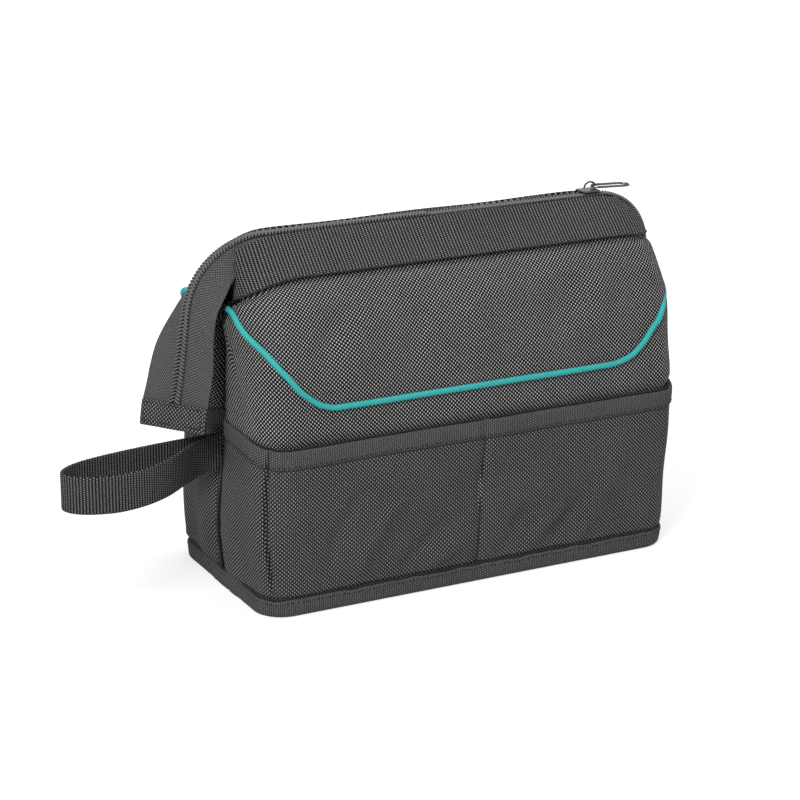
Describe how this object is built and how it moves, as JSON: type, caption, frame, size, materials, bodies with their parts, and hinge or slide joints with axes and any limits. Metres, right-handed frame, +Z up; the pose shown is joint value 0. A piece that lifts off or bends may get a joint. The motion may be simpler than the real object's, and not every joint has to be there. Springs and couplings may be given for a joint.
{
  "type": "utility pouch",
  "caption": "Boxy zipped utility pouch of heavy dark cloth with bright piping, outer pockets, overhanging zip ends and a webbing hand loop.",
  "frame": {"origin": "on the floor, under the middle of the pouch's body", "axes": "+X along the zip towards its right end, away from the hand loop; +Y to the back; +Z up"},
  "size_m": [0.3746, 0.1244, 0.2035],
  "materials": {
    "ballistic_cloth": "coarse basket weave, matt",
    "webbing": "ribbed woven strap, matt",
    "binding_tape": "fine ribbed tape, matt",
    "zip_tape": "fine woven tape, matt",
    "zip_coil": "moulded nylon, satin",
    "piping": "smooth covered cord, satin",
    "lining_cloth": "thin coated nylon, satin",
    "board": "plain sheet, matt",
    "gunmetal": "dark plated, satin"
  },
  "bodies": {
    "pouch": {"back_band_left_end": "webbing", "back_band_right_end": "webbing", "back_panel_left_end": "ballistic_cloth", "back_panel_right_end": "ballistic_cloth", "back_piping": "piping", "back_pocket": "ballistic_cloth", "back_pocket_binding": "binding_tape", "back_wall": "ballistic_cloth", "back_zip_coil_left_corner": "zip_coil", "back_zip_coil_right_corner": "zip_coil", "back_zip_tape_left_corner": "zip_tape", "back_zip_tape_right_corner": "zip_tape", "base_binding": "binding_tape", "base_board": "board", "base_panel": "ballistic_cloth", "front_band_left_end": "webbing", "front_band_right_end": "webbing", "front_panel_left_end": "ballistic_cloth", "front_panel_right_end": "ballistic_cloth", "front_piping": "piping", "front_pocket": "ballistic_cloth", "front_pocket_binding": "binding_tape", "front_wall": "ballistic_cloth", "front_zip_coil_left_corner": "zip_coil", "front_zip_coil_right_corner": "zip_coil", "front_zip_tape_left_corner": "zip_tape", "front_zip_tape_right_corner": "zip_tape", "left_gusset": "lining_cloth", "lining": "lining_cloth", "right_gusset": "lining_cloth"},
    "front_mouth": {"front_panel": "ballistic_cloth", "front_band": "webbing", "front_facing": "binding_tape", "front_zip_tape": "zip_tape", "front_zip_coil": "zip_coil"},
    "back_mouth": {"back_panel": "ballistic_cloth", "back_band": "webbing", "back_facing": "binding_tape", "back_zip_tape": "zip_tape", "back_zip_coil": "zip_coil"},
    "left_tail": {"front_zip_tape_left_tail": "zip_tape", "front_zip_coil_left_tail": "zip_coil", "back_zip_tape_left_tail": "zip_tape", "back_zip_coil_left_tail": "zip_coil", "left_end_tab": "ballistic_cloth"},
    "right_tail": {"front_zip_tape_right_tail": "zip_tape", "front_zip_coil_right_tail": "zip_coil", "back_zip_tape_right_tail": "zip_tape", "back_zip_coil_right_tail": "zip_coil", "right_end_tab": "ballistic_cloth"},
    "slider": {"slider_body": "gunmetal", "slider_bridge": "gunmetal"},
    "pull": {"pull": "gunmetal"},
    "loop": {"hand_loop": "webbing"}
  },
  "joints": [
    {"name": "zip_slide", "type": "slide", "parent": "pouch", "child": "slider", "axis": [1, 0, 0], "range_m": [-0.196, 0]},
    {"name": "pull_swing", "type": "hinge", "parent": "slider", "child": "pull", "pos_m": [0.1052, 0, 0.20018], "axis": [0, -1, 0], "range_deg": [0, 174]},
    {"name": "front_mouth_open", "type": "hinge", "parent": "pouch", "child": "front_mouth", "pos_m": [0, -0.0588, 0.11316], "axis": [1, 0, 0], "range_deg": [0, 22]},
    {"name": "back_mouth_open", "type": "hinge", "parent": "pouch", "child": "back_mouth", "pos_m": [0, 0.0588, 0.11316], "axis": [-1, 0, 0], "range_deg": [0, 22]},
    {"name": "hand_loop_swing", "type": "hinge", "parent": "pouch", "child": "loop", "pos_m": [-0.12732, 0, 0.068], "axis": [0, 0, 1], "range_deg": [-30, 35], "stiffness_Nm_per_rad": 0.02},
    {"name": "left_tail_swing", "type": "hinge", "parent": "pouch", "child": "left_tail", "pos_m": [-0.13253, 0, 0.1813], "axis": [0, 1, 0], "range_deg": [-4, 50], "stiffness_Nm_per_rad": 0.03},
    {"name": "right_tail_swing", "type": "hinge", "parent": "pouch", "child": "right_tail", "pos_m": [0.13013, 0, 0.18561], "axis": [0, -1, 0], "range_deg": [0, 50], "stiffness_Nm_per_rad": 0.03}
  ],
  "couplings": [
    {"joint": "back_mouth_open", "follows": "front_mouth_open", "ratio": 1}
  ]
}
